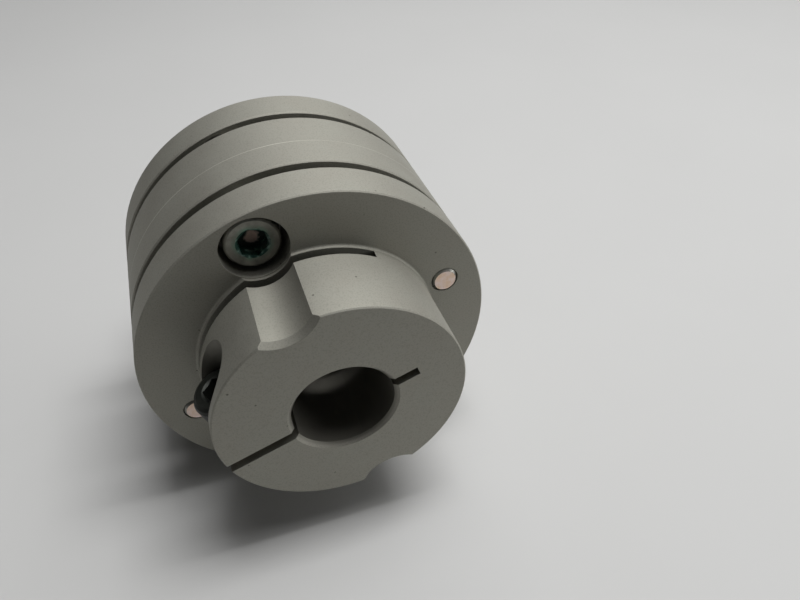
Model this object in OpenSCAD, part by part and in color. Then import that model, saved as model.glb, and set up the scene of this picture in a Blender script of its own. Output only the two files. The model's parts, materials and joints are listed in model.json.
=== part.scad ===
// Flexible shaft coupling: two clamping hubs joined to a spacer by two packs of thin steel discs.
// Sizes are in millimetres. The shaft axis is X and the front hub points to +X.
// The origin is on the shaft axis, in the middle of the spacer.

/* [Flanges and spacer] */
// Outside diameter of both flanges and of the spacer
flange_d = 68; // [66:0.5:70]
// Thickness of each hub's flange
flange_t = 8.2; // [7.6:0.1:9]
// Length of the spacer along the shaft
spacer_t = 17.7; // [17:0.1:19]
// Gap between a flange and the spacer, where a disc pack sits
disc_gap = 2.3; // [1.9:0.1:2.6]
// Diameter of the hole through the spacer
spacer_bore_d = 30; // [26:0.5:32]
// Small chamfer on the turned outer edges
edge_chamfer = 0.25; // [0.15:0.05:0.5]

/* [Hub boss] */
// Outside diameter of the clamping boss
boss_d = 46.2; // [45:0.2:48]
// Length of the boss in front of its flange
boss_len = 17.2; // [16.6:0.1:19]
// Diameter of the bore for the shaft
bore_d = 19; // [14:0.5:20]
// Chamfer at both ends of the bore
bore_chamfer = 0.8; // [0.2:0.1:1]
// Radius of the fillet between boss and flange
root_fillet = 0.5; // [0.3:0.05:0.5]

/* [Clamp] */
// Width of the slit that lets the boss close on the shaft
slit_w = 1.9; // [1.2:0.1:2.4]
// How far the slit runs past the shaft axis, on the closed side
slit_reach = 14.7; // [13:0.1:16]
// Width of the slot that frees the boss's clamping jaw from the flange
cross_slot_w = 1.9; // [1.2:0.1:2]
// Stub of boss left between that slot and the flange
cross_slot_stub = 0.6; // [0.55:0.05:0.9]
// How far that slot runs past the shaft axis, on the closed side
cross_slot_reach = 17.4; // [16.5:0.1:19]
// Distance from the shaft axis to the clamp screw's axis
clamp_offset = 17.4; // [17:0.1:18.2]
// Height of the clamp screw's seat above the slit's middle
clamp_seat = 6; // [5:0.1:6.5]
// Length of the clamp screw under its head
clamp_screw_len = 16; // [14:0.5:18]
// Room around the clamp screw's head in its pocket
clamp_head_room = 0.35; // [0.3:0.05:0.6]

/* [Screws] */
// Thread diameter of all the screws
thread_d = 6; // [5:0.25:6]
// Diameter of a screw head
head_d = 10; // [9.4:0.1:10.4]
// Height of a screw head
head_h = 6; // [5:0.1:6.1]
// Width across the flats of the hexagon socket
hex_w = 5; // [4:0.25:5.5]
// Depth of the hexagon socket
hex_depth = 3; // [2:0.1:3.5]
// Room around a spacer screw's head in the flange, and around a hub screw's head in the spacer
head_room = 1.05; // [0.8:0.05:1.2]
// Extra radius of the notches beside the boss over the head holes behind them
notch_step = 0.2; // [0.1:0.05:0.3]
// Wall left between a screw head's hole and the flange's rim
rim_wall = 0.9; // [0.6:0.05:1.2]
// How far a hub screw's end stands out of its flange
hub_screw_proud = 0.3; // [0:0.05:0.6]
// Length of a spacer screw under its head
spacer_screw_len = 10; // [8:0.25:10.5]

/* [Disc packs] */
// Thickness of one spring steel disc
disc_t = 0.2; // [0.15:0.01:0.25]
// Radius of a disc's rounded corner round its screw hole
disc_corner_r = 4.9; // [4.5:0.05:5.2]
// Diameter of the hole in the middle of a disc
disc_bore_d = 31; // [27:0.5:33]
// Diameter of the collars that clamp a pack
collar_d = 9.6; // [9:0.1:9.8]
// Thickness of the collar under a screw head
head_collar_t = 1.4; // [1.1:0.05:1.5]

/* [Fits] */
// Radial play of a screw in its threaded hole
thread_play = 0.05; // [0.02:0.01:0.08]
// Radial play of a screw in a disc, a collar or a plain hole
shank_play = 0.15; // [0.1:0.01:0.3]
// Free depth past a screw head in the spacer's pocket
pocket_floor_room = 1; // [0.8:0.05:1.1]

/* [Placement] */
// Turn of the whole coupling about its shaft axis as it lies
lie_angle = 20.4; // [0:0.2:45]

/* [Hidden] */
$fn = 96;

disc_count = 4;
pack_t = disc_count * disc_t;
gap_collar_t = (disc_gap - pack_t) / 2;

// Places along the shaft axis, from the middle of the spacer
spacer_face_x = spacer_t / 2;
flange_back_x = spacer_face_x + disc_gap;
flange_face_x = flange_back_x + flange_t;
boss_end_x = flange_face_x + boss_len;
pack_inner_x = spacer_face_x + gap_collar_t;
pack_outer_x = pack_inner_x + pack_t;
cross_slot_x = flange_face_x + cross_slot_stub;
clamp_x = (cross_slot_x + cross_slot_w + boss_end_x) / 2;

// The holes for the screw heads reach almost to the rim, which sets the screws' circle
head_hole_d = head_d + 2 * head_room;
screw_circle_r = flange_d / 2 - rim_wall - head_hole_d / 2;
notch_d = head_hole_d + 2 * notch_step;
clamp_pocket_d = head_d + 2 * clamp_head_room;
notch_chamfer = 1;
plain_hole_d = thread_d + 2 * shank_play;
head_chamfer = 0.45;

// A thread in its hole is drawn at its mean diameter, where the flanks of both threads meet
thread_mean_d = 0.892 * thread_d;
thread_hole_d = thread_mean_d + 2 * thread_play;
screw_end_chamfer = 0.52;

// Sockets of the spacer screws, turned as they were left when the screws were tightened
spacer_hex_turn = -8;

hub_screw_len = head_collar_t + pack_t + gap_collar_t + flange_t + hub_screw_proud;
pocket_depth = head_collar_t + head_h - gap_collar_t + pocket_floor_room;

// How far a cutter runs past the face that it cuts
past = 1;

aluminium = "#96948c";
spring_steel = "#a8a79f";
zinc_plated = "#8d8f8a";
black_oxide = "#2b2d2b";

// Places a child on the front end, or turned half round about the clamp screw's direction for the rear end
module on_end(rear) {
    rotate([lie_angle, 0, 0])
        rotate([0, 0, rear ? 180 : 0])
            children();
}

// Round bar along the shaft direction
module bar(d, x0, x1, y = 0, z = 0) {
    translate([x0, y, z])
        rotate([0, 90, 0])
            cylinder(d = d, h = x1 - x0);
}

// Cone along the shaft direction
module cone(d0, d1, x0, x1, y = 0, z = 0) {
    translate([x0, y, z])
        rotate([0, 90, 0])
            cylinder(d1 = d0, d2 = d1, h = x1 - x0);
}

// Shape turned on the shaft axis from points [radius, place along the axis]
module turned(points) {
    rotate([0, 90, 0])
        rotate_extrude()
            polygon(points);
}

// Copies on both sides of the shaft axis, along the slit
module on_slit_line() {
    for (side = [-1, 1])
        translate([0, side * screw_circle_r, 0])
            children();
}

// Copies on both sides of the shaft axis, square to the slit
module across_slit_line() {
    for (side = [-1, 1])
        translate([0, 0, side * screw_circle_r])
            children();
}

// Clamping hub: a flange, and a boss that is slit so that its screw can close it on the shaft
module hub() {
    difference() {
        hub_blank();
        bar(bore_d, flange_back_x - past, boss_end_x + past);
        bore_end_chamfers();
        across_slit_line()
            head_hole_and_notch();
        on_slit_line()
            bar(thread_hole_d, flange_back_x - past, flange_face_x + past);
        clamp_slit();
        cross_slot();
        clamp_screw_hole();
    }
}

// Turned outside of the hub, with a small fillet where the boss meets the flange
module hub_blank() {
    flange_r = flange_d / 2;
    boss_r = boss_d / 2;
    fillet = [for (a = [270:-15:180]) [
        boss_r + root_fillet * (1 + cos(a)),
        flange_face_x + root_fillet * (1 + sin(a)),
    ]];
    turned(concat(
        [
            [0, flange_back_x],
            [flange_r - edge_chamfer, flange_back_x],
            [flange_r, flange_back_x + edge_chamfer],
            [flange_r, flange_face_x - edge_chamfer],
            [flange_r - edge_chamfer, flange_face_x],
        ],
        fillet,
        [
            [boss_r, boss_end_x - edge_chamfer],
            [boss_r - edge_chamfer, boss_end_x],
            [0, boss_end_x],
        ]
    ));
}

module bore_end_chamfers() {
    wide = bore_d + 2 * bore_chamfer;
    cone(bore_d, wide + 2 * past, boss_end_x - bore_chamfer, boss_end_x + past);
    cone(wide + 2 * past, bore_d, flange_back_x - past, flange_back_x + bore_chamfer);
}

// Hole for a spacer screw's head, and in line with it the wider notch beside the boss
module head_hole_and_notch() {
    wide = notch_d + 2 * notch_chamfer;
    bar(head_hole_d, flange_back_x - past, flange_face_x + past);
    bar(notch_d, flange_face_x, boss_end_x + past);
    cone(notch_d, wide + 2 * past, boss_end_x - notch_chamfer, boss_end_x + past);
}

// Slit in the plane of the shaft axis, through one side of the boss and into the other
module clamp_slit() {
    open_side = boss_d / 2 + past;
    translate([flange_face_x + cross_slot_stub, -open_side, -slit_w / 2])
        cube([boss_len, open_side + slit_reach, slit_w]);
}

// Slot square to the shaft, down to the slit, that frees the boss's upper jaw from the flange
module cross_slot() {
    open_side = boss_d / 2 + past;
    translate([cross_slot_x, -open_side, -slit_w / 2])
        cube([cross_slot_w, open_side + cross_slot_reach, open_side + slit_w / 2]);
}

// Pocket for the clamp screw's head, plain hole down to the slit and thread below it
module clamp_screw_hole() {
    translate([clamp_x, -clamp_offset, 0]) {
        translate([0, 0, clamp_seat])
            cylinder(d = clamp_pocket_d, h = boss_d);
        cylinder(d = plain_hole_d, h = clamp_seat + past);
        translate([0, 0, -boss_d])
            cylinder(d = thread_hole_d, h = boss_d + slit_w / 4);
    }
}

// Middle ring that carries a disc pack on each face
module spacer_ring() {
    r = flange_d / 2;
    difference() {
        turned([
            [0, -spacer_face_x],
            [r - edge_chamfer, -spacer_face_x],
            [r, edge_chamfer - spacer_face_x],
            [r, spacer_face_x - edge_chamfer],
            [r - edge_chamfer, spacer_face_x],
            [0, spacer_face_x],
        ]);
        bar(spacer_bore_d, -spacer_face_x - past, spacer_face_x + past);
        across_slit_line()
            bar(thread_hole_d, -spacer_face_x - past, spacer_face_x + past);
        on_slit_line() {
            bar(head_hole_d, spacer_face_x - pocket_depth, spacer_face_x + past);
            bar(head_hole_d, -spacer_face_x - past, pocket_depth - spacer_face_x);
        }
    }
}

// One thin disc of a pack: a square frame with round corners about its four screw holes
module disc(number) {
    corner = screw_circle_r * sin(45);
    x = pack_outer_x - number * disc_t;
    translate([x, 0, 0])
        rotate([0, 90, 0])
            linear_extrude(disc_t)
                difference() {
                    rotate(45)
                        rounded_square(corner, disc_corner_r);
                    circle(d = disc_bore_d);
                    for (a = [0:90:270])
                        rotate(a)
                            translate([screw_circle_r, 0])
                                circle(d = plain_hole_d);
                }
}

// Flat square whose corner arcs are centred at the given distance along both directions
module rounded_square(corner, r) {
    square([2 * corner, 2 * (corner + r)], center = true);
    square([2 * (corner + r), 2 * corner], center = true);
    for (x = [-corner, corner], y = [-corner, corner])
        translate([x, y])
            circle(r = r);
}

// Socket head cap screw along Z: head above the origin, and below it the free and the engaged thread
module cap_screw(length, free_len, hex_turn = 0) {
    head_r = head_d / 2;
    thread_r = thread_d / 2;
    mean_r = thread_mean_d / 2;
    difference() {
        rotate_extrude()
            polygon([
                [0, -length],
                [mean_r - screw_end_chamfer, -length],
                [mean_r, screw_end_chamfer - length],
                [mean_r, -free_len],
                [thread_r, -free_len],
                [thread_r, 0],
                [head_r, 0],
                [head_r, head_h - head_chamfer],
                [head_r - head_chamfer, head_h],
                [0, head_h],
            ]);
        rotate([0, 0, hex_turn])
            translate([0, 0, head_h - hex_depth])
                cylinder(d = hex_w / cos(30), h = hex_depth + past, $fn = 6);
    }
}

// Plain ring round a screw, between two places along the shaft
module collar(x0, x1) {
    difference() {
        bar(collar_d, x0, x1);
        bar(plain_hole_d, x0 - past, x1 + past);
    }
}

// Screws that hold a pack to its hub: heads in the spacer's pockets, ends through the flange
module hub_screws() {
    color(zinc_plated)
        on_slit_line()
            translate([pack_inner_x - head_collar_t, 0, 0])
                rotate([0, -90, 0])
                    cap_screw(hub_screw_len, flange_back_x - pack_inner_x + head_collar_t);
}

// Screws that hold a pack to the spacer: heads in the flange's holes, ends in the spacer
module spacer_screws() {
    color(zinc_plated)
        across_slit_line()
            translate([pack_outer_x + head_collar_t, 0, 0])
                rotate([0, 90, 0])
                    cap_screw(spacer_screw_len, pack_outer_x - spacer_face_x + head_collar_t, spacer_hex_turn);
}

module clamp_screw() {
    color(black_oxide)
        translate([clamp_x, -clamp_offset, clamp_seat])
            cap_screw(clamp_screw_len, clamp_seat);
}

module hub_head_collars() {
    color(spring_steel)
        on_slit_line()
            collar(pack_inner_x - head_collar_t, pack_inner_x);
}

module hub_gap_collars() {
    color(spring_steel)
        on_slit_line()
            collar(pack_outer_x, flange_back_x);
}

module spacer_head_collars() {
    color(spring_steel)
        across_slit_line()
            collar(pack_outer_x, pack_outer_x + head_collar_t);
}

module spacer_gap_collars() {
    color(spring_steel)
        across_slit_line()
            collar(spacer_face_x, pack_inner_x);
}

module one_disc(rear, number) {
    color(spring_steel)
        on_end(rear)
            disc(number);
}

module hub_front() { color(aluminium) on_end(false) hub(); }
module hub_rear() { color(aluminium) on_end(true) hub(); }
module spacer() { color(aluminium) on_end(false) spacer_ring(); }

hub_front();
hub_rear();
spacer();
one_disc(false, 1);  // disc_front_1
one_disc(false, 2);  // disc_front_2
one_disc(false, 3);  // disc_front_3
one_disc(false, 4);  // disc_front_4
one_disc(true, 1);  // disc_rear_1
one_disc(true, 2);  // disc_rear_2
one_disc(true, 3);  // disc_rear_3
one_disc(true, 4);  // disc_rear_4
on_end(false) hub_screws();  // hub_screws_front
on_end(true) hub_screws();  // hub_screws_rear
on_end(false) spacer_screws();  // spacer_screws_front
on_end(true) spacer_screws();  // spacer_screws_rear
on_end(false) hub_head_collars();  // hub_head_collars_front
on_end(true) hub_head_collars();  // hub_head_collars_rear
on_end(false) hub_gap_collars();  // hub_gap_collars_front
on_end(true) hub_gap_collars();  // hub_gap_collars_rear
on_end(false) spacer_head_collars();  // spacer_head_collars_front
on_end(true) spacer_head_collars();  // spacer_head_collars_rear
on_end(false) spacer_gap_collars();  // spacer_gap_collars_front
on_end(true) spacer_gap_collars();  // spacer_gap_collars_rear
on_end(false) clamp_screw();  // clamp_screw_front
on_end(true) clamp_screw();  // clamp_screw_rear
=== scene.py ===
import json
import math

import bmesh
import bpy
from mathutils import Matrix, Vector


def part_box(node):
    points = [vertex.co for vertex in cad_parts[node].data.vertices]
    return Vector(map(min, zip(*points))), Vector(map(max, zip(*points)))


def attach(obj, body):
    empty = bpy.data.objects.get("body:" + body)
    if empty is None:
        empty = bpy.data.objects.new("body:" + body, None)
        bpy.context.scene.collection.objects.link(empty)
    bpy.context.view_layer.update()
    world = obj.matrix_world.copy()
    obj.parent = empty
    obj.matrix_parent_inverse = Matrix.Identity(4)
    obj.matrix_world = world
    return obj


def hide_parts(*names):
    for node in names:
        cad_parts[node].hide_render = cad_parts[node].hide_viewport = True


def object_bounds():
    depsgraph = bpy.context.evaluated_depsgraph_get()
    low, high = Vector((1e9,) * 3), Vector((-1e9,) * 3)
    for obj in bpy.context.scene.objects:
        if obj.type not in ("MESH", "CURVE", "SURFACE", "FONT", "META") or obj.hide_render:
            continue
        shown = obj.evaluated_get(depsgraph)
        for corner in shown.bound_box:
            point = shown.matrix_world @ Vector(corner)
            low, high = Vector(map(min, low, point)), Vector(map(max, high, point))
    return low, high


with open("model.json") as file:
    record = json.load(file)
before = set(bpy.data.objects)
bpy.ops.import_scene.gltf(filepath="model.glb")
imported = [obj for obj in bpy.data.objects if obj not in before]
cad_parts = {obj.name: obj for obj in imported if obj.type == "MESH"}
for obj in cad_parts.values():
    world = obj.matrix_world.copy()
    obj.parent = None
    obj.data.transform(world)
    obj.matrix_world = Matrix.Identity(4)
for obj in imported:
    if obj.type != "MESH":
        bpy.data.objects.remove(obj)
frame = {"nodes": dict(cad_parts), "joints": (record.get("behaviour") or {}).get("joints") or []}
cad_low, cad_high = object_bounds()


# ---------------------------------------------------------------- Hubs
# The two clamping hubs, turned and milled from aluminium bar. They are bead blasted after machining and
# then anodised clear, which leaves an even, slightly warm satin grey. The hubs carry everything else:
# their flanges take the disc packs' screws and their slit bosses close on the shafts.

MM = 0.001
NODES = frame["nodes"]
JOINTS = {joint["name"]: joint for joint in frame["joints"]}


def linear(hex_colour):
    """Linear colour of an sRGB hex value."""
    parts = [int(hex_colour[i:i + 2], 16) / 255 for i in (1, 3, 5)]
    return [p / 12.92 if p <= 0.04045 else ((p + 0.055) / 1.055) ** 2.4 for p in parts] + [1.0]


def add(tree, kind, sockets=(), **settings):
    """Adds a shader node. Settings are its own choices, sockets its inputs: values, or outputs to link.

    A colour Mix takes its factor at socket 0 and its colours at 6 and 7, and gives the blend at output 2.
    """
    made = tree.nodes.new("ShaderNode" + kind)
    for name, value in settings.items():
        setattr(made, name, value)
    for name, value in dict(sockets).items():
        if isinstance(value, bpy.types.NodeSocket):
            tree.links.new(value, made.inputs[name])
        else:
            made.inputs[name].default_value = value
    return made


def new_material(name):
    """An empty node material, its tree and its object coordinates in metres."""
    material = bpy.data.materials.new(name)
    material.use_nodes = True
    tree = material.node_tree
    tree.nodes.clear()
    place = add(tree, "TexCoord").outputs["Object"]
    return material, tree, place


def off_line(tree, place, point, axis):
    """Distance of a place from the line that goes through a point along an axis of length 1."""
    moved = add(tree, "VectorMath", {0: place, 1: point}, operation="SUBTRACT").outputs[0]
    square = add(tree, "VectorMath", {0: moved, 1: axis}, operation="CROSS_PRODUCT").outputs[0]
    return add(tree, "VectorMath", {0: square}, operation="LENGTH").outputs["Value"]


def off_axis(tree, place, y=0.0, z=0.0):
    """Distance of a place from the line along X that goes through y and z."""
    return off_line(tree, place, (0.0, y, z), (1.0, 0.0, 0.0))


def per_metre(size_mm):
    """Scale of a texture whose features are that many millimetres across."""
    return 1 / (size_mm * MM)


BLAST_GRAIN_MM = 0.28      # glass bead dimples, drawn about twice as coarse as real ones so that they show
MOTTLE_MM = 9.0            # slow changes of tone over a blasted face
PIT_SPACING_MM = 4.5       # distance between small pits in the metal, most of them under the surface
PIT_R_MM = 0.25            # radius of a pit
EDGE_BREAK_MM = 0.1        # radius of the deburred edges
BORED_R_MM = 10.0          # the bore and its edge, out to this radius, were masked from the blasting
BORED_FADE_MM = 0.3        # width in which the blasting sets in beside the bore
POCKET_SHADE_R_MM = 5.5          # the clamp screw's pocket is painted darker as shade out to this radius
POCKET_SHADE_FADE_MM = 0.1       # width in which the pocket's painted shade fades out
ALUMINIUM_DARK = "#A19F96"
ALUMINIUM_LIGHT = "#A4A39A"
PIT_COLOUR = "#76746C"
# the bore's own colour, also painted into the clamp screws' pockets as shade
BORED_AND_POCKET_SHADE_COLOUR = "#86847C"
BORED_ROUGHNESS = 0.64


def off_pocket_shade(tree, place, clamp):
    """Mask of the painted shade in the pocket round a clamp screw's head: 0 on its wall and floor, 1
    elsewhere.
    """
    radius = off_line(tree, place, clamp["pos_m"], clamp["axis"])
    beside = add(tree, "MapRange", {
        "Value": radius, "From Min": (POCKET_SHADE_R_MM - POCKET_SHADE_FADE_MM) * MM, "From Max": POCKET_SHADE_R_MM * MM,
    }).outputs[0]
    height = add(tree, "VectorMath", {0: place, 1: clamp["axis"]}, operation="DOT_PRODUCT").outputs["Value"]
    floor = Vector(clamp["pos_m"]).dot(Vector(clamp["axis"]))
    below = add(tree, "MapRange", {
        "Value": height,
        "From Min": floor - 2 * POCKET_SHADE_FADE_MM * MM, "From Max": floor - POCKET_SHADE_FADE_MM * MM,
        "To Min": 1.0, "To Max": 0.0,
    }).outputs[0]
    return add(tree, "Math", {0: beside, 1: below}, operation="MAXIMUM").outputs[0]


def blasted_aluminium(name, marks=None, clamps=()):
    """Bead-blasted, clear anodised aluminium: satin, a fine even grain, here and there a small dark pit.

    marks takes the tree, the place and a colour, and returns the colour with the turning tool's marks.
    clamps are the joints of the clamp screws, whose pockets are painted darker with the bore's colour as
    shade.
    """
    material, tree, place = new_material(name)
    grain = add(tree, "TexNoise", {
        "Vector": place, "Scale": per_metre(BLAST_GRAIN_MM), "Detail": 2.0, "Roughness": 0.6,
    }).outputs[0]
    mottle = add(tree, "TexNoise", {
        "Vector": place, "Scale": per_metre(MOTTLE_MM), "Detail": 4.0, "Roughness": 0.55,
    }).outputs[0]
    tone = add(tree, "MapRange", {"Value": mottle, "From Min": 0.35, "From Max": 0.65}).outputs[0]
    body = add(tree, "Mix", {
        0: tone, 6: linear(ALUMINIUM_DARK), 7: linear(ALUMINIUM_LIGHT),
    }, data_type="RGBA").outputs[2]
    pits = add(tree, "TexVoronoi", {"Vector": place, "Scale": per_metre(PIT_SPACING_MM)}).outputs["Distance"]
    wobble = add(tree, "Math", {0: grain, 1: 0.5}).outputs[0]
    ragged = add(tree, "Math", {0: pits, 1: wobble}, operation="MULTIPLY").outputs[0]
    pit_edge = PIT_R_MM / PIT_SPACING_MM
    whole = add(tree, "MapRange", {
        "Value": ragged, "From Min": 0.6 * pit_edge, "From Max": pit_edge,
    }).outputs[0]
    pitted = add(tree, "Mix", {0: whole, 6: linear(PIT_COLOUR), 7: body}, data_type="RGBA").outputs[2]
    speck = add(tree, "MapRange", {
        "Value": grain, "From Min": 0.36, "From Max": 0.5, "To Min": 0.88, "To Max": 1.0,
    }).outputs[0]
    toned = add(tree, "Mix", {
        0: 1.0, 6: pitted, 7: speck,
    }, data_type="RGBA", blend_type="MULTIPLY").outputs[2]
    if marks:
        toned = marks(tree, place, toned)
    # blasted is 1 on the blasted faces and 0 in the bore, which has its own finish; below it is also set to
    # 0 where the pockets get painted shade
    blasted = add(tree, "MapRange", {
        "Value": off_axis(tree, place),
        "From Min": (BORED_R_MM - BORED_FADE_MM) * MM, "From Max": BORED_R_MM * MM,
    }).outputs[0]
    # The clamp screws' pockets get the bore's darker colour as painted shade, and the bore's roughness.
    for clamp in clamps:
        outside = off_pocket_shade(tree, place, clamp)
        blasted = add(tree, "Math", {0: blasted, 1: outside}, operation="MINIMUM").outputs[0]
    toned = add(tree, "Mix", {0: blasted, 6: linear(BORED_AND_POCKET_SHADE_COLOUR), 7: toned}, data_type="RGBA").outputs[2]
    satin = add(tree, "MapRange", {
        "Value": mottle, "From Min": 0.3, "From Max": 0.7, "To Min": 0.68, "To Max": 0.72,
    }).outputs[0]
    soft_edge = add(tree, "Bevel", {"Radius": EDGE_BREAK_MM * MM}, samples=6).outputs[0]
    dimples = add(tree, "Bump", {
        "Height": grain, "Strength": 0.25, "Distance": 0.03 * MM, "Normal": soft_edge,
    }).outputs[0]
    shader = add(tree, "BsdfPrincipled", {
        "Base Color": toned,
        "Metallic": 1.0,
        "Roughness": add(tree, "Mix", {0: blasted, 2: BORED_ROUGHNESS, 3: satin}).outputs[0],
        "Normal": dimples,
    })
    add(tree, "OutputMaterial", {"Surface": shader.outputs[0]})
    return material


def dress(node, material):
    """Gives a CAD node its finish."""
    NODES[node].data.materials.clear()
    NODES[node].data.materials.append(material)


CLAMPS = [JOINTS["front_clamp_turn"], JOINTS["rear_clamp_turn"]]
hub_aluminium = blasted_aluminium("bead_blasted_aluminium", clamps=CLAMPS)
for hub in ("hub_front", "hub_rear"):
    dress(hub, hub_aluminium)


# ---------------------------------------------------------------- Spacer
# The ring between the two disc packs, turned from the same aluminium bar and blasted with the hubs. It was
# turned from both ends, which leaves a fine bright line round it where the two cuts meet.

CUTS_MEET_X_MM = 1.0       # where the two cuts meet, along the axis
CUT_LINE_W_MM = 0.2        # width of the line there
LINE_PATCH_MM = 18.0       # length of the stretches in which it fades in and out
LINE_COLOUR = "#C2C0B6"


def meeting_line(tree, place, colour):
    """The colour with the line where the cuts meet, which fades in and out round the ring."""
    along = add(tree, "SeparateXYZ", {"Vector": place}).outputs["X"]
    line = add(tree, "Math", {
        0: along, 1: CUTS_MEET_X_MM * MM, 2: CUT_LINE_W_MM / 2 * MM,
    }, operation="COMPARE").outputs[0]
    patches = add(tree, "TexNoise", {
        "Vector": place, "Scale": per_metre(LINE_PATCH_MM), "Detail": 1.0,
    }).outputs[0]
    strength = add(tree, "MapRange", {
        "Value": patches, "From Min": 0.3, "From Max": 0.55, "To Min": 0.25, "To Max": 1.0,
    }).outputs[0]
    shown = add(tree, "Math", {0: line, 1: strength}, operation="MULTIPLY").outputs[0]
    return add(tree, "Mix", {0: shown, 6: colour, 7: linear(LINE_COLOUR)}, data_type="RGBA").outputs[2]


dress("spacer", blasted_aluminium("bead_blasted_turned_aluminium", meeting_line))


# ---------------------------------------------------------------- Disc packs
# Four thin discs an end, blanked from cold rolled stainless spring strip. They bend so that the shafts may
# lie at a small angle, and they show only as fine lines inside the gaps.

ROLLING_LINE_MM = 0.3      # width of the rolling lines, drawn coarser than real ones so that they show
ROLLING_STRETCH = 0.04     # their width as a share of their length
STRIP_DARK = "#A9A7A0"
STRIP_LIGHT = "#BDBBB5"


def rolled_stainless(name):
    """Cold rolled stainless strip: smooth, with faint rolling lines one way."""
    material, tree, place = new_material(name)
    lines = add(tree, "TexNoise", {
        "Vector": add(tree, "Mapping", {"Vector": place, "Scale": (1.0, 1.0, ROLLING_STRETCH)}).outputs[0],
        "Scale": per_metre(ROLLING_LINE_MM), "Detail": 3.0,
    }).outputs[0]
    tone = add(tree, "MapRange", {"Value": lines, "From Min": 0.35, "From Max": 0.65}).outputs[0]
    colour = add(tree, "Mix", {
        0: tone, 6: linear(STRIP_DARK), 7: linear(STRIP_LIGHT),
    }, data_type="RGBA").outputs[2]
    sheen = add(tree, "MapRange", {
        "Value": lines, "From Min": 0.3, "From Max": 0.7, "To Min": 0.24, "To Max": 0.34,
    }).outputs[0]
    shader = add(tree, "BsdfPrincipled", {
        "Base Color": colour,
        "Metallic": 1.0,
        "Roughness": sheen,
    })
    add(tree, "OutputMaterial", {"Surface": shader.outputs[0]})
    return material


disc_stainless = rolled_stainless("rolled_stainless_strip")
for end in ("front", "rear"):
    for number in (1, 2, 3, 4):
        dress(f"disc_{end}_{number}", disc_stainless)


# ---------------------------------------------------------------- Collars
# Ground steel rings that clamp each pack round its screws. One lies under every screw's head and one is
# between the pack and the face that it is screwed to.

GRINDING_LINE_MM = 0.15    # width of the grinding lines, drawn coarser than real ones so that they show
GRINDING_STRETCH = 0.05    # their width as a share of their length
COLLAR_DARK = "#8F8E88"
COLLAR_LIGHT = "#A9A8A2"


def ground_steel(name):
    """Ground steel: bright, with fine lines round the ring."""
    material, tree, place = new_material(name)
    stretch = (1.0, GRINDING_STRETCH, GRINDING_STRETCH)
    lines = add(tree, "TexNoise", {
        "Vector": add(tree, "Mapping", {"Vector": place, "Scale": stretch}).outputs[0],
        "Scale": per_metre(GRINDING_LINE_MM), "Detail": 2.0,
    }).outputs[0]
    colour = add(tree, "Mix", {
        0: lines, 6: linear(COLLAR_DARK), 7: linear(COLLAR_LIGHT),
    }, data_type="RGBA").outputs[2]
    sheen = add(tree, "MapRange", {
        "Value": lines, "From Min": 0.3, "From Max": 0.7, "To Min": 0.28, "To Max": 0.4,
    }).outputs[0]
    shader = add(tree, "BsdfPrincipled", {
        "Base Color": colour,
        "Metallic": 1.0,
        "Roughness": sheen,
    })
    add(tree, "OutputMaterial", {"Surface": shader.outputs[0]})
    return material


collar_steel = ground_steel("ground_collar_steel")
for end in ("front", "rear"):
    for kind in ("hub_head", "hub_gap", "spacer_head", "spacer_gap"):
        dress(f"{kind}_collars_{end}", collar_steel)


# ---------------------------------------------------------------- Pack screws
# M6 socket head cap screws, cold headed and rolled, then zinc plated. Those of the hub have their heads
# down in the spacer and their ends in the flange's face; those of the spacer have their heads in the flange.

THREAD_D = 6.0
THREAD_PITCH = 1.0
THREAD_DEPTH = 0.613 * THREAD_PITCH
ROOT_END = 0.25            # a thread's profile, as shares of its pitch: the root ends here,
CREST_START = 0.5625       # the crest starts here,
CREST_END = 0.6875         # and ends here
FLANK = 0.3125             # each flank's length
PROFILE = (0.0, ROOT_END, CREST_START, CREST_END)    # where the mesh has its rings
END_CHAMFER = 0.85         # at the thread's end
NECK_D = 5.2               # the plain neck under the head
NECK_LEN = 0.6
NECK_FILLET = 0.2
HEAD_D = 10.0
HEAD_H = 6.0
SEAT_CHAMFER = 0.3         # on the underside's edge of the head
KNURL_DEPTH = 0.1
KNURL_START = 0.5          # above the seat
KNURL_END = 4.9
PACK_RIM_CHAMFER = 0.5     # on the head's upper rim
HEX_W = 5.0                # across the socket's flats
HEX_DEPTH = 3.0
SOCKET_MOUTH_D = 6.0       # round countersink at the socket's mouth
MOUTH_SLOPE = math.radians(30)
SOCKET_CONE = 0.7          # depth of the drill's cone below the hexagon
CONE_SHARE = 0.82          # its width as a share of the hexagon's width across corners
SCREW_SIDES = 96           # points round the screw: two to a knurl groove
SHARP_EDGE = math.radians(28)    # edges that turn by more than this stay sharp
WELD_DIST = 1e-4           # points of the mesh closer than this are one point
OUTSIDE, WALL, FLOOR, END, FACE = range(5)  # a screw's finishes, in this order


def hex_radius(angle):
    """Distance from the axis to a hexagon's wall, with a corner at angle 0."""
    within = (angle % math.radians(60)) - math.radians(30)
    return HEX_W / 2 / math.cos(within)


def thread_radius(height, angle, length):
    """Radius of the rolled thread, with the chamfer at its end."""
    turn = ((height + length) / THREAD_PITCH - angle / math.tau) % 1.0
    crest, root = THREAD_D / 2, THREAD_D / 2 - THREAD_DEPTH
    if turn < ROOT_END:
        radius = root
    elif turn < CREST_START:
        radius = root + (crest - root) * (turn - ROOT_END) / FLANK
    elif turn < CREST_END:
        radius = crest
    else:
        radius = crest - (crest - root) * (turn - CREST_END) / FLANK
    return min(radius, crest - END_CHAMFER + (height + length))


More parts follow.
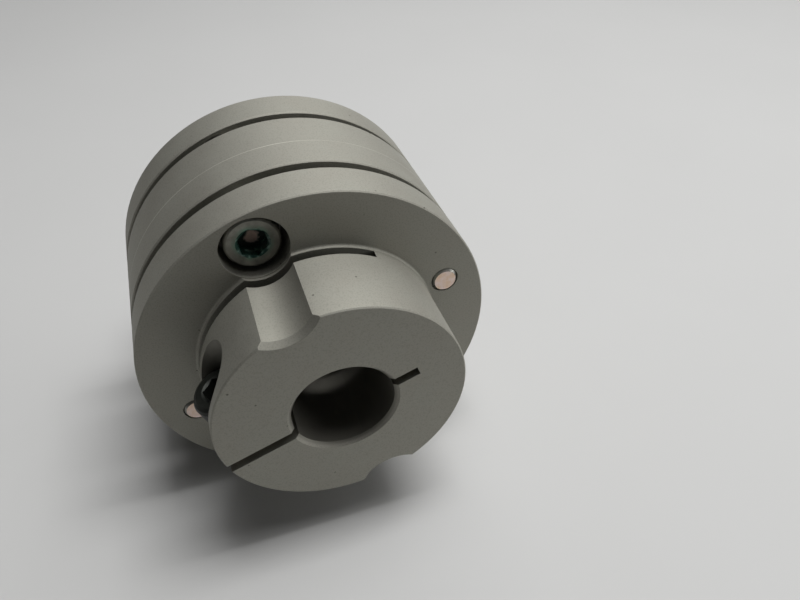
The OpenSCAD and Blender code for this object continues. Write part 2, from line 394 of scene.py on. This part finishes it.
def thread_rings(length):
    """Rings along the helix from the screw's end to its neck, each one clipped at both."""
    rings = []
    top = -NECK_LEN
    turns = math.ceil((length + top) / THREAD_PITCH) + 2
    for step in range(turns * len(PROFILE) + 1):
        base = (step // len(PROFILE) - 1 + PROFILE[step % len(PROFILE)]) * THREAD_PITCH - length

        def point(angle, base=base):
            height = min(max(base + angle / math.tau * THREAD_PITCH, -length), top)
            return thread_radius(height, angle, length), height

        rings.append(point)
    return rings


def head_rings(rim_chamfer):
    """Rings from the neck over the knurled head and down into its socket."""
    r = HEAD_D / 2
    corner = hex_radius(0)

    def plain(radius, height):
        return lambda angle: (radius, height)

    def knurled(height):
        return lambda angle: (r - KNURL_DEPTH * (round(angle / math.tau * SCREW_SIDES) % 2), height)

    def mouth(angle):
        wall = hex_radius(angle)
        return wall, HEAD_H - (SOCKET_MOUTH_D / 2 - wall) * math.tan(MOUTH_SLOPE)

    def hexagon(height):
        return lambda angle: (hex_radius(angle), height)

    return [
        plain(NECK_D / 2, -NECK_LEN),
        plain(NECK_D / 2, -NECK_FILLET),
        plain(NECK_D / 2 + NECK_FILLET, 0),
        plain(r - SEAT_CHAMFER, 0),
        plain(r - KNURL_DEPTH / 2, SEAT_CHAMFER),
        knurled(KNURL_START),
        knurled(KNURL_END),
        plain(r, HEAD_H - rim_chamfer),
        plain(r - 0.35 * rim_chamfer, HEAD_H - 0.4 * rim_chamfer),  # rounds the chamfer
        plain(r - rim_chamfer, HEAD_H),
        plain(SOCKET_MOUTH_D / 2, HEAD_H),
        mouth,
        hexagon(HEAD_H - HEX_DEPTH),
        plain(corner * CONE_SHARE, HEAD_H - HEX_DEPTH),
    ]


def cap_screw(name, length, seat, axis, corner_towards, rim_chamfer, materials):
    """One socket head cap screw as a closed mesh: seat is under its head, axis points out of its head.

    A corner of its hexagon points to corner_towards. The materials are those of its outside, of its socket's
    wall and floor, of its end and of its head's face.
    """
    threads = thread_rings(length)
    head = head_rings(rim_chamfer)
    rings = threads + head
    last_thread = len(threads) - 1
    wrap = [min(i + len(PROFILE), last_thread) for i in range(len(threads))]
    wrap += list(range(len(threads), len(rings)))
    mesh = bmesh.new()
    grid = []
    for ring in rings:
        row = []
        for side in range(SCREW_SIDES):
            angle = side / SCREW_SIDES * math.tau
            radius, height = ring(angle)
            row.append(mesh.verts.new((radius * math.cos(angle), radius * math.sin(angle), height)))
        grid.append(row)
    tip = mesh.verts.new((0, 0, -length))
    socket_end = mesh.verts.new((0, 0, HEAD_H - HEX_DEPTH - SOCKET_CONE))

    def at(ring, side):
        """A point of the grid. Past the last side, a thread's ring goes on into the next turn's."""
        return grid[ring][side] if side < SCREW_SIDES else grid[wrap[ring]][0]

    head_face, socket_mouth, socket_wall, socket_floor = range(len(rings) - 5, len(rings) - 1)
    finish_of = {head_face: FACE, socket_mouth: WALL, socket_wall: WALL, socket_floor: FLOOR}
    for ring in range(len(rings) - 1):
        for side in range(SCREW_SIDES):
            corners = (at(ring, side), at(ring, side + 1), at(ring + 1, side + 1), at(ring + 1, side))
            face = mesh.faces.new(tuple(dict.fromkeys(corners)))
            face.material_index = finish_of.get(ring, OUTSIDE)
    for side in range(SCREW_SIDES):
        end = mesh.faces.new((tip, at(0, side + 1), at(0, side)))
        end.material_index = END
        floor = mesh.faces.new((socket_end, at(len(rings) - 1, side), at(len(rings) - 1, side + 1)))
        floor.material_index = FLOOR
    bmesh.ops.remove_doubles(mesh, verts=mesh.verts, dist=WELD_DIST)
    bmesh.ops.dissolve_degenerate(mesh, edges=mesh.edges, dist=WELD_DIST)
    bmesh.ops.recalc_face_normals(mesh, faces=mesh.faces)
    for face in mesh.faces:
        face.smooth = True
    for edge in mesh.edges:
        edge.smooth = edge.calc_face_angle(0) < SHARP_EDGE
    sideways = corner_towards - axis * corner_towards.dot(axis)
    sideways.normalize()
    turned = Matrix((sideways, axis.cross(sideways), axis)).transposed()
    mesh.transform(Matrix.Translation(seat) @ turned.to_4x4() @ Matrix.Scale(MM, 4))
    data = bpy.data.meshes.new(name)
    mesh.to_mesh(data)
    mesh.free()
    for material in materials:
        data.materials.append(material)
    screw = bpy.data.objects.new(name, data)
    bpy.context.scene.collection.objects.link(screw)
    return screw


ZINC_CLOUD_MM = 2.5        # slow changes of tone in the plating
ZINC_GRAIN_MM = 0.2        # its fine roughness, drawn coarser than the real one so that it shows
ZINC_DARK = "#7A7B76"
ZINC_LIGHT = "#A2A19A"
SMEAR_R_MM = 3.8           # the socket's lacquer is smeared over the head's face out to this radius
SMEAR_COLOUR = "#6F9484"


def zinc_plate(name, smeared=False):
    """Bright zinc on a rolled screw: grey and clouded. Lacquer may be smeared round the socket."""
    material, tree, place = new_material(name)
    cloud = add(tree, "TexNoise", {
        "Vector": place, "Scale": per_metre(ZINC_CLOUD_MM), "Detail": 4.0,
    }).outputs[0]
    fine = add(tree, "TexNoise", {
        "Vector": place, "Scale": per_metre(ZINC_GRAIN_MM), "Detail": 2.0,
    }).outputs[0]
    tone = add(tree, "MapRange", {"Value": cloud, "From Min": 0.35, "From Max": 0.65}).outputs[0]
    colour = add(tree, "Mix", {
        0: tone, 6: linear(ZINC_DARK), 7: linear(ZINC_LIGHT),
    }, data_type="RGBA").outputs[2]
    sheen = add(tree, "MapRange", {
        "Value": fine, "From Min": 0.3, "From Max": 0.7, "To Min": 0.34, "To Max": 0.5,
    }).outputs[0]
    if smeared:
        across = add(tree, "TexCoord").outputs["Generated"]
        smear_edge = SMEAR_R_MM / HEAD_D
        near_socket = add(tree, "MapRange", {
            "Value": off_axis(tree, across, 0.5, 0.5),
            "From Min": 0.8 * smear_edge, "From Max": smear_edge, "To Min": 1.0, "To Max": 0.0,
        }).outputs[0]
        thickness = add(tree, "MapRange", {
            "Value": cloud, "From Min": 0.4, "From Max": 0.6, "To Min": 0.1, "To Max": 0.8,
        }).outputs[0]
        smear = add(tree, "Math", {0: near_socket, 1: thickness}, operation="MULTIPLY").outputs[0]
        colour = add(tree, "Mix", {
            0: smear, 6: colour, 7: linear(SMEAR_COLOUR),
        }, data_type="RGBA").outputs[2]
    shader = add(tree, "BsdfPrincipled", {
        "Base Color": colour,
        "Metallic": 1.0,
        "Roughness": sheen,
        "Normal": add(tree, "Bump", {"Height": fine, "Strength": 0.2, "Distance": 0.02 * MM}).outputs[0],
    })
    add(tree, "OutputMaterial", {"Surface": shader.outputs[0]})
    return material


LACQUER_CLOUD_MM = 1.2     # size of its thick and thin places
LACQUER_DARK = "#06241C"
LACQUER_LIGHT = "#26574A"
# light mint of the thin patches, lightened so that it is also a painted highlight on the lacquer
LACQUER_THIN_AND_HIGHLIGHT = "#7E9C8E"
RUBBED_R_MM = 1.25         # radius of the place that the hexagon key rubbed bare
RUBBED_AT = (0.52, 0.42)   # its middle, as shares of the head's width
RUBBED_CLOUD_MM = 0.8      # size of the steps in its edge
RUBBED_DARK = "#D6BBB1"
RUBBED_LIGHT = "#F0DCD2"
END_CLOUD_MM = 1.4         # size of the tarnished patches on a cut end
END_DARK = "#E6CDB6"
END_LIGHT = "#F0E0DA"


def socket_lacquer(name):
    """Dark green lacquer in the socket, put there to mark a tightened screw. It is thin here and there, and
    those thin patches are painted light mint, which also serves as a painted highlight.
    """
    material, tree, place = new_material(name)
    cloud = add(tree, "TexNoise", {
        "Vector": place, "Scale": per_metre(LACQUER_CLOUD_MM), "Detail": 3.0,
    }).outputs[0]
    full = add(tree, "Mix", {
        0: cloud, 6: linear(LACQUER_DARK), 7: linear(LACQUER_LIGHT),
    }, data_type="RGBA").outputs[2]
    # Thin patches of lacquer, painted light mint as thin lacquer and as a painted highlight.
    thin_and_highlight = add(tree, "MapRange", {"Value": cloud, "From Min": 0.52, "From Max": 0.66}).outputs[0]
    colour = add(tree, "Mix", {0: thin_and_highlight, 6: full, 7: linear(LACQUER_THIN_AND_HIGHLIGHT)}, data_type="RGBA").outputs[2]
    sheen = add(tree, "MapRange", {
        "Value": cloud, "From Min": 0.3, "From Max": 0.7, "To Min": 0.25, "To Max": 0.5,
    }).outputs[0]
    shader = add(tree, "BsdfPrincipled", {
        "Base Color": colour,
        "Roughness": sheen,
        "IOR": 1.5,
    })
    add(tree, "OutputMaterial", {"Surface": shader.outputs[0]})
    return material


def socket_bottom(name):
    """The socket's floor: the same lacquer, rubbed down to pinkish steel in one place beside the middle."""
    material, tree, place = new_material(name)
    across = add(tree, "TexCoord").outputs["Generated"]
    cloud = add(tree, "TexNoise", {
        "Vector": place, "Scale": per_metre(RUBBED_CLOUD_MM), "Detail": 3.0,
    }).outputs[0]
    wobble = add(tree, "Math", {0: cloud, 1: 0.5}).outputs[0]
    reach = off_axis(tree, across, *RUBBED_AT)
    ragged = add(tree, "Math", {0: reach, 1: wobble}, operation="MULTIPLY").outputs[0]
    rub_edge = RUBBED_R_MM / HEAD_D
    bare = add(tree, "MapRange", {
        "Value": ragged,
        "From Min": 0.75 * rub_edge, "From Max": 1.1 * rub_edge, "To Min": 1.0, "To Max": 0.0,
    }).outputs[0]
    steel = add(tree, "Mix", {
        0: cloud, 6: linear(RUBBED_DARK), 7: linear(RUBBED_LIGHT),
    }, data_type="RGBA").outputs[2]
    colour = add(tree, "Mix", {0: bare, 6: linear(LACQUER_DARK), 7: steel}, data_type="RGBA").outputs[2]
    shader = add(tree, "BsdfPrincipled", {
        "Base Color": colour,
        "Metallic": bare,
        "Roughness": 0.6,
        "IOR": 1.5,
    })
    add(tree, "OutputMaterial", {"Surface": shader.outputs[0]})
    return material


def cut_end(name):
    """The screw's flat end, cut off bright and lightly tarnished."""
    material, tree, place = new_material(name)
    cloud = add(tree, "TexNoise", {
        "Vector": place, "Scale": per_metre(END_CLOUD_MM), "Detail": 3.0,
    }).outputs[0]
    tone = add(tree, "MapRange", {"Value": cloud, "From Min": 0.35, "From Max": 0.65}).outputs[0]
    colour = add(tree, "Mix", {
        0: tone, 6: linear(END_DARK), 7: linear(END_LIGHT),
    }, data_type="RGBA").outputs[2]
    sheen = add(tree, "MapRange", {
        "Value": cloud, "From Min": 0.3, "From Max": 0.7, "To Min": 0.55, "To Max": 0.65,
    }).outputs[0]
    shader = add(tree, "BsdfPrincipled", {
        "Base Color": colour,
        "Metallic": 1.0,
        "Roughness": sheen,
    })
    add(tree, "OutputMaterial", {"Surface": shader.outputs[0]})
    return material


zinc_screw = (
    zinc_plate("zinc_plated_steel"),
    socket_lacquer("socket_lacquer"),
    socket_bottom("rubbed_socket_floor"),
    cut_end("cut_steel_end"),
    zinc_plate("lacquer_smeared_zinc", smeared=True),
)
ALONG_SLIT = Vector(JOINTS["front_bend_at_hub"]["axis"])
ACROSS_SLIT = Vector(JOINTS["front_bend_at_spacer"]["axis"])
HEX_TURN = math.radians(22)    # from the line of the hub screws to a corner of the hexagon


def screw_circle(node):
    """Distance from the shaft's axis to a screw's own axis, measured on the upper one of a node's two."""
    high = [v.co for v in NODES[node].data.vertices if v.co.z > 0]
    y = (min(p.y for p in high) + max(p.y for p in high)) / 2
    z = (min(p.z for p in high) + max(p.z for p in high)) / 2
    return math.hypot(y, z)


def pack_screws(node, body, line, out):
    """The two screws of a node, on both sides of the shaft along a line: out is where their heads point."""
    low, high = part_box(node)
    head_end, tip = (high.x, low.x) if out > 0 else (low.x, high.x)
    seat_x = head_end - out * HEAD_H * MM
    length = abs(seat_x - tip) / MM
    radius = screw_circle(node)
    corner = Matrix.Rotation(HEX_TURN, 3, "X") @ ALONG_SLIT
    for side, where in ((1, "a"), (-1, "b")):
        seat = Vector((seat_x, 0, 0)) + line * side * radius
        screw = cap_screw(
            f"{node}_{where}", length, seat, Vector((out, 0, 0)), corner, PACK_RIM_CHAMFER, zinc_screw,
        )
        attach(screw, body)
        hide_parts(node)


pack_screws("hub_screws_front", "front_hub", ALONG_SLIT, -1)
pack_screws("hub_screws_rear", "rear_hub", ALONG_SLIT, 1)
pack_screws("spacer_screws_front", "middle", ACROSS_SLIT, 1)
pack_screws("spacer_screws_rear", "middle", ACROSS_SLIT, -1)


# ---------------------------------------------------------------- Clamp screws
# One M6 x 16 socket head cap screw a hub, blackened and oiled. It lies across the boss in its pocket, goes
# through the slit and pulls the boss closed on the shaft.

CLAMP_SCREW_LEN = 16.0
CLAMP_RIM_CHAMFER = 0.9
CLAMP_HEX_TURN = math.radians(13)    # from the shaft's axis to a corner of the hexagon
OXIDE_CLOUD_MM = 1.5       # size of the patches where more oil stands on it
OXIDE_DARK = "#1B1D1A"
OXIDE_LIGHT = "#2C2E2A"


def black_oxide(name):
    """Black oxide on steel: near black, oily, with a dull sheen."""
    material, tree, place = new_material(name)
    cloud = add(tree, "TexNoise", {
        "Vector": place, "Scale": per_metre(OXIDE_CLOUD_MM), "Detail": 4.0,
    }).outputs[0]
    colour = add(tree, "Mix", {
        0: cloud, 6: linear(OXIDE_DARK), 7: linear(OXIDE_LIGHT),
    }, data_type="RGBA").outputs[2]
    sheen = add(tree, "MapRange", {
        "Value": cloud, "From Min": 0.3, "From Max": 0.7, "To Min": 0.38, "To Max": 0.55,
    }).outputs[0]
    shader = add(tree, "BsdfPrincipled", {
        "Base Color": colour,
        "Metallic": 0.6,
        "Roughness": sheen,
    })
    add(tree, "OutputMaterial", {"Surface": shader.outputs[0]})
    return material


oxide = black_oxide("black_oxide_steel")
for end in ("front", "rear"):
    joint = JOINTS[f"{end}_clamp_turn"]
    axis = Vector(joint["axis"])
    corner = Matrix.Rotation(CLAMP_HEX_TURN, 3, axis) @ Vector((1, 0, 0))
    screw = cap_screw(
        f"clamp_cap_screw_{end}", CLAMP_SCREW_LEN, Vector(joint["pos_m"]), axis, corner,
        CLAMP_RIM_CHAMFER, [oxide] * 5,
    )
    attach(screw, f"{end}_clamp_screw")
    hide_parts(f"clamp_screw_{end}")


# ---------------------------------------------------------------- Studio
# A pale, plain table. A soft lamp hangs over it, a little to the right, and lights the ceiling round it. One
# window is behind, another is to the right, and something bright stands low on the right. The camera looks
# down at the front hub's end face from close by.

TABLE_SIZE = 2.4
TABLE_EDGE_X = 0.22        # the table's front edge
TABLE_EDGE_Y = -0.30       # its left edge
CARD_CLOUD_MM = 60.0       # size of its faint clouds
CARD_DARK = "#BDBDBC"
CARD_LIGHT = "#C1C1C0"


def matt_card(name):
    """Pale grey matt card: flat and even, with a very faint cloudiness."""
    material, tree, place = new_material(name)
    cloud = add(tree, "TexNoise", {
        "Vector": place, "Scale": per_metre(CARD_CLOUD_MM), "Detail": 3.0,
    }).outputs[0]
    colour = add(tree, "Mix", {
        0: cloud, 6: linear(CARD_DARK), 7: linear(CARD_LIGHT),
    }, data_type="RGBA").outputs[2]
    shader = add(tree, "BsdfPrincipled", {
        "Base Color": colour,
        "Roughness": 0.85,
    })
    add(tree, "OutputMaterial", {"Surface": shader.outputs[0]})
    return material


TABLE_PLACE = (TABLE_EDGE_X - TABLE_SIZE / 2, TABLE_EDGE_Y + TABLE_SIZE / 2, cad_low.z)
bpy.ops.mesh.primitive_plane_add(size=TABLE_SIZE, location=TABLE_PLACE)
table = bpy.context.object
table.name = "table"
table.data.materials.append(matt_card("matt_card"))


def lamp(name, place, size, power):
    """A soft rectangular lamp aimed at the coupling's middle: size is its width and length."""
    data = bpy.data.lights.new(name, "AREA")
    data.shape = "RECTANGLE"
    data.size, data.size_y = size
    data.energy = power
    made = bpy.data.objects.new(name, data)
    made.location = place
    towards = Vector((0, 0, 0)) - Vector(place)
    made.rotation_euler = towards.to_track_quat("-Z", "Y").to_euler()
    bpy.context.scene.collection.objects.link(made)


CEILING_TILT = math.radians(14)    # how far the ceiling's light comes from the right
CEILING_HEIGHT = 0.7
CEILING_PLACE = (0.0, CEILING_HEIGHT * math.tan(CEILING_TILT), CEILING_HEIGHT)
lamp("ceiling_panel", place=CEILING_PLACE, size=(0.13, 0.42), power=3.6)
lamp("lit_ceiling", place=CEILING_PLACE, size=(0.4, 0.6), power=2.1)
lamp("rear_window", place=(-0.9, 0.45, 0.75), size=(0.9, 0.9), power=3.6)
lamp("right_window", place=(-0.2, 1.0, 0.6), size=(0.8, 0.8), power=1.5)
lamp("low_screen", place=(0.45, 1.10, 0.12), size=(0.66, 0.30), power=3.1)

ROOM_LIGHT = 0.045         # what the rest of the room gives
ROOM_COLOUR = "#FFFFFF"

world = bpy.data.worlds.new("room")
world.use_nodes = True
bpy.context.scene.world = world
room = world.node_tree
room.nodes.clear()
glow = add(room, "Background", {"Color": linear(ROOM_COLOUR), "Strength": ROOM_LIGHT})
add(room, "OutputWorld", {"Surface": glow.outputs[0]})

CAMERA_PLACE = (0.11300, -0.01620, 0.09295)
CAMERA_DOWN = 41.015       # degrees below the horizon
CAMERA_TURN = 70.931       # degrees round the upright, from looking along Y
CAMERA_LENS = 30.496       # with a sensor 36 mm wide

camera_data = bpy.data.cameras.new("camera")
camera_data.sensor_width = 36
camera_data.lens = CAMERA_LENS
camera_data.clip_start = 0.01
camera = bpy.data.objects.new("camera", camera_data)
camera.location = CAMERA_PLACE
camera.rotation_euler = (math.radians(90 - CAMERA_DOWN), 0, math.radians(CAMERA_TURN))
bpy.context.scene.collection.objects.link(camera)
bpy.context.scene.camera = camera

bpy.context.scene.view_settings.view_transform = "Standard"
